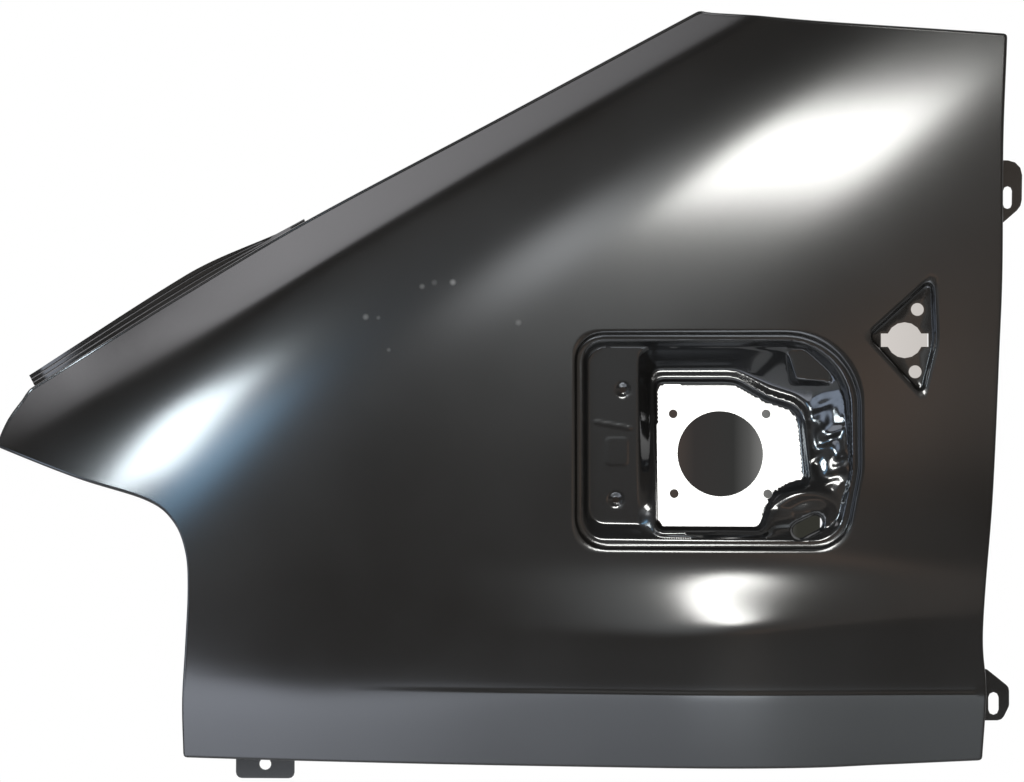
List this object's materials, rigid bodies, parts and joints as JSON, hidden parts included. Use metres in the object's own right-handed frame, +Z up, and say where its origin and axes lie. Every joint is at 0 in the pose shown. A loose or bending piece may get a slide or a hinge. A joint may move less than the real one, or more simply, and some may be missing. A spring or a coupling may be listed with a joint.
{
  "type": "front fender with fuel filler pocket",
  "caption": "Left front van fender: pressed steel outer skin with shoulder crease, sill band and side lamp recess, with a welded fuel filler pocket, a bonnet side rail and slotted fixing brackets",
  "frame": {"origin": "a point on the outer face of the upper rear bracket's tab, above its slot", "axes": "+X runs to the rear of the vehicle, along the fender's length; +Z runs up; +Y runs inboard, so the painted side faces -Y"},
  "size_m": [0.8734, 0.2107, 0.6515],
  "materials": {
    "skin_primer": "satin black electrophoretic primer on pressed steel",
    "pocket_primer": "glossier black electrophoretic primer on drawn steel",
    "rail_primer": "satin black primer",
    "upper_rear_bracket_primer": "satin black primer",
    "lower_rear_bracket_primer": "satin black primer",
    "bottom_bracket_primer": "satin black primer"
  },
  "bodies": {
    "root": {"outer_skin": "skin_primer", "filler_pocket": "pocket_primer", "bonnet_side_rail": "rail_primer", "upper_rear_bracket": "upper_rear_bracket_primer", "lower_rear_bracket": "lower_rear_bracket_primer", "bottom_bracket": "bottom_bracket_primer"}
  },
  "joints": []
}
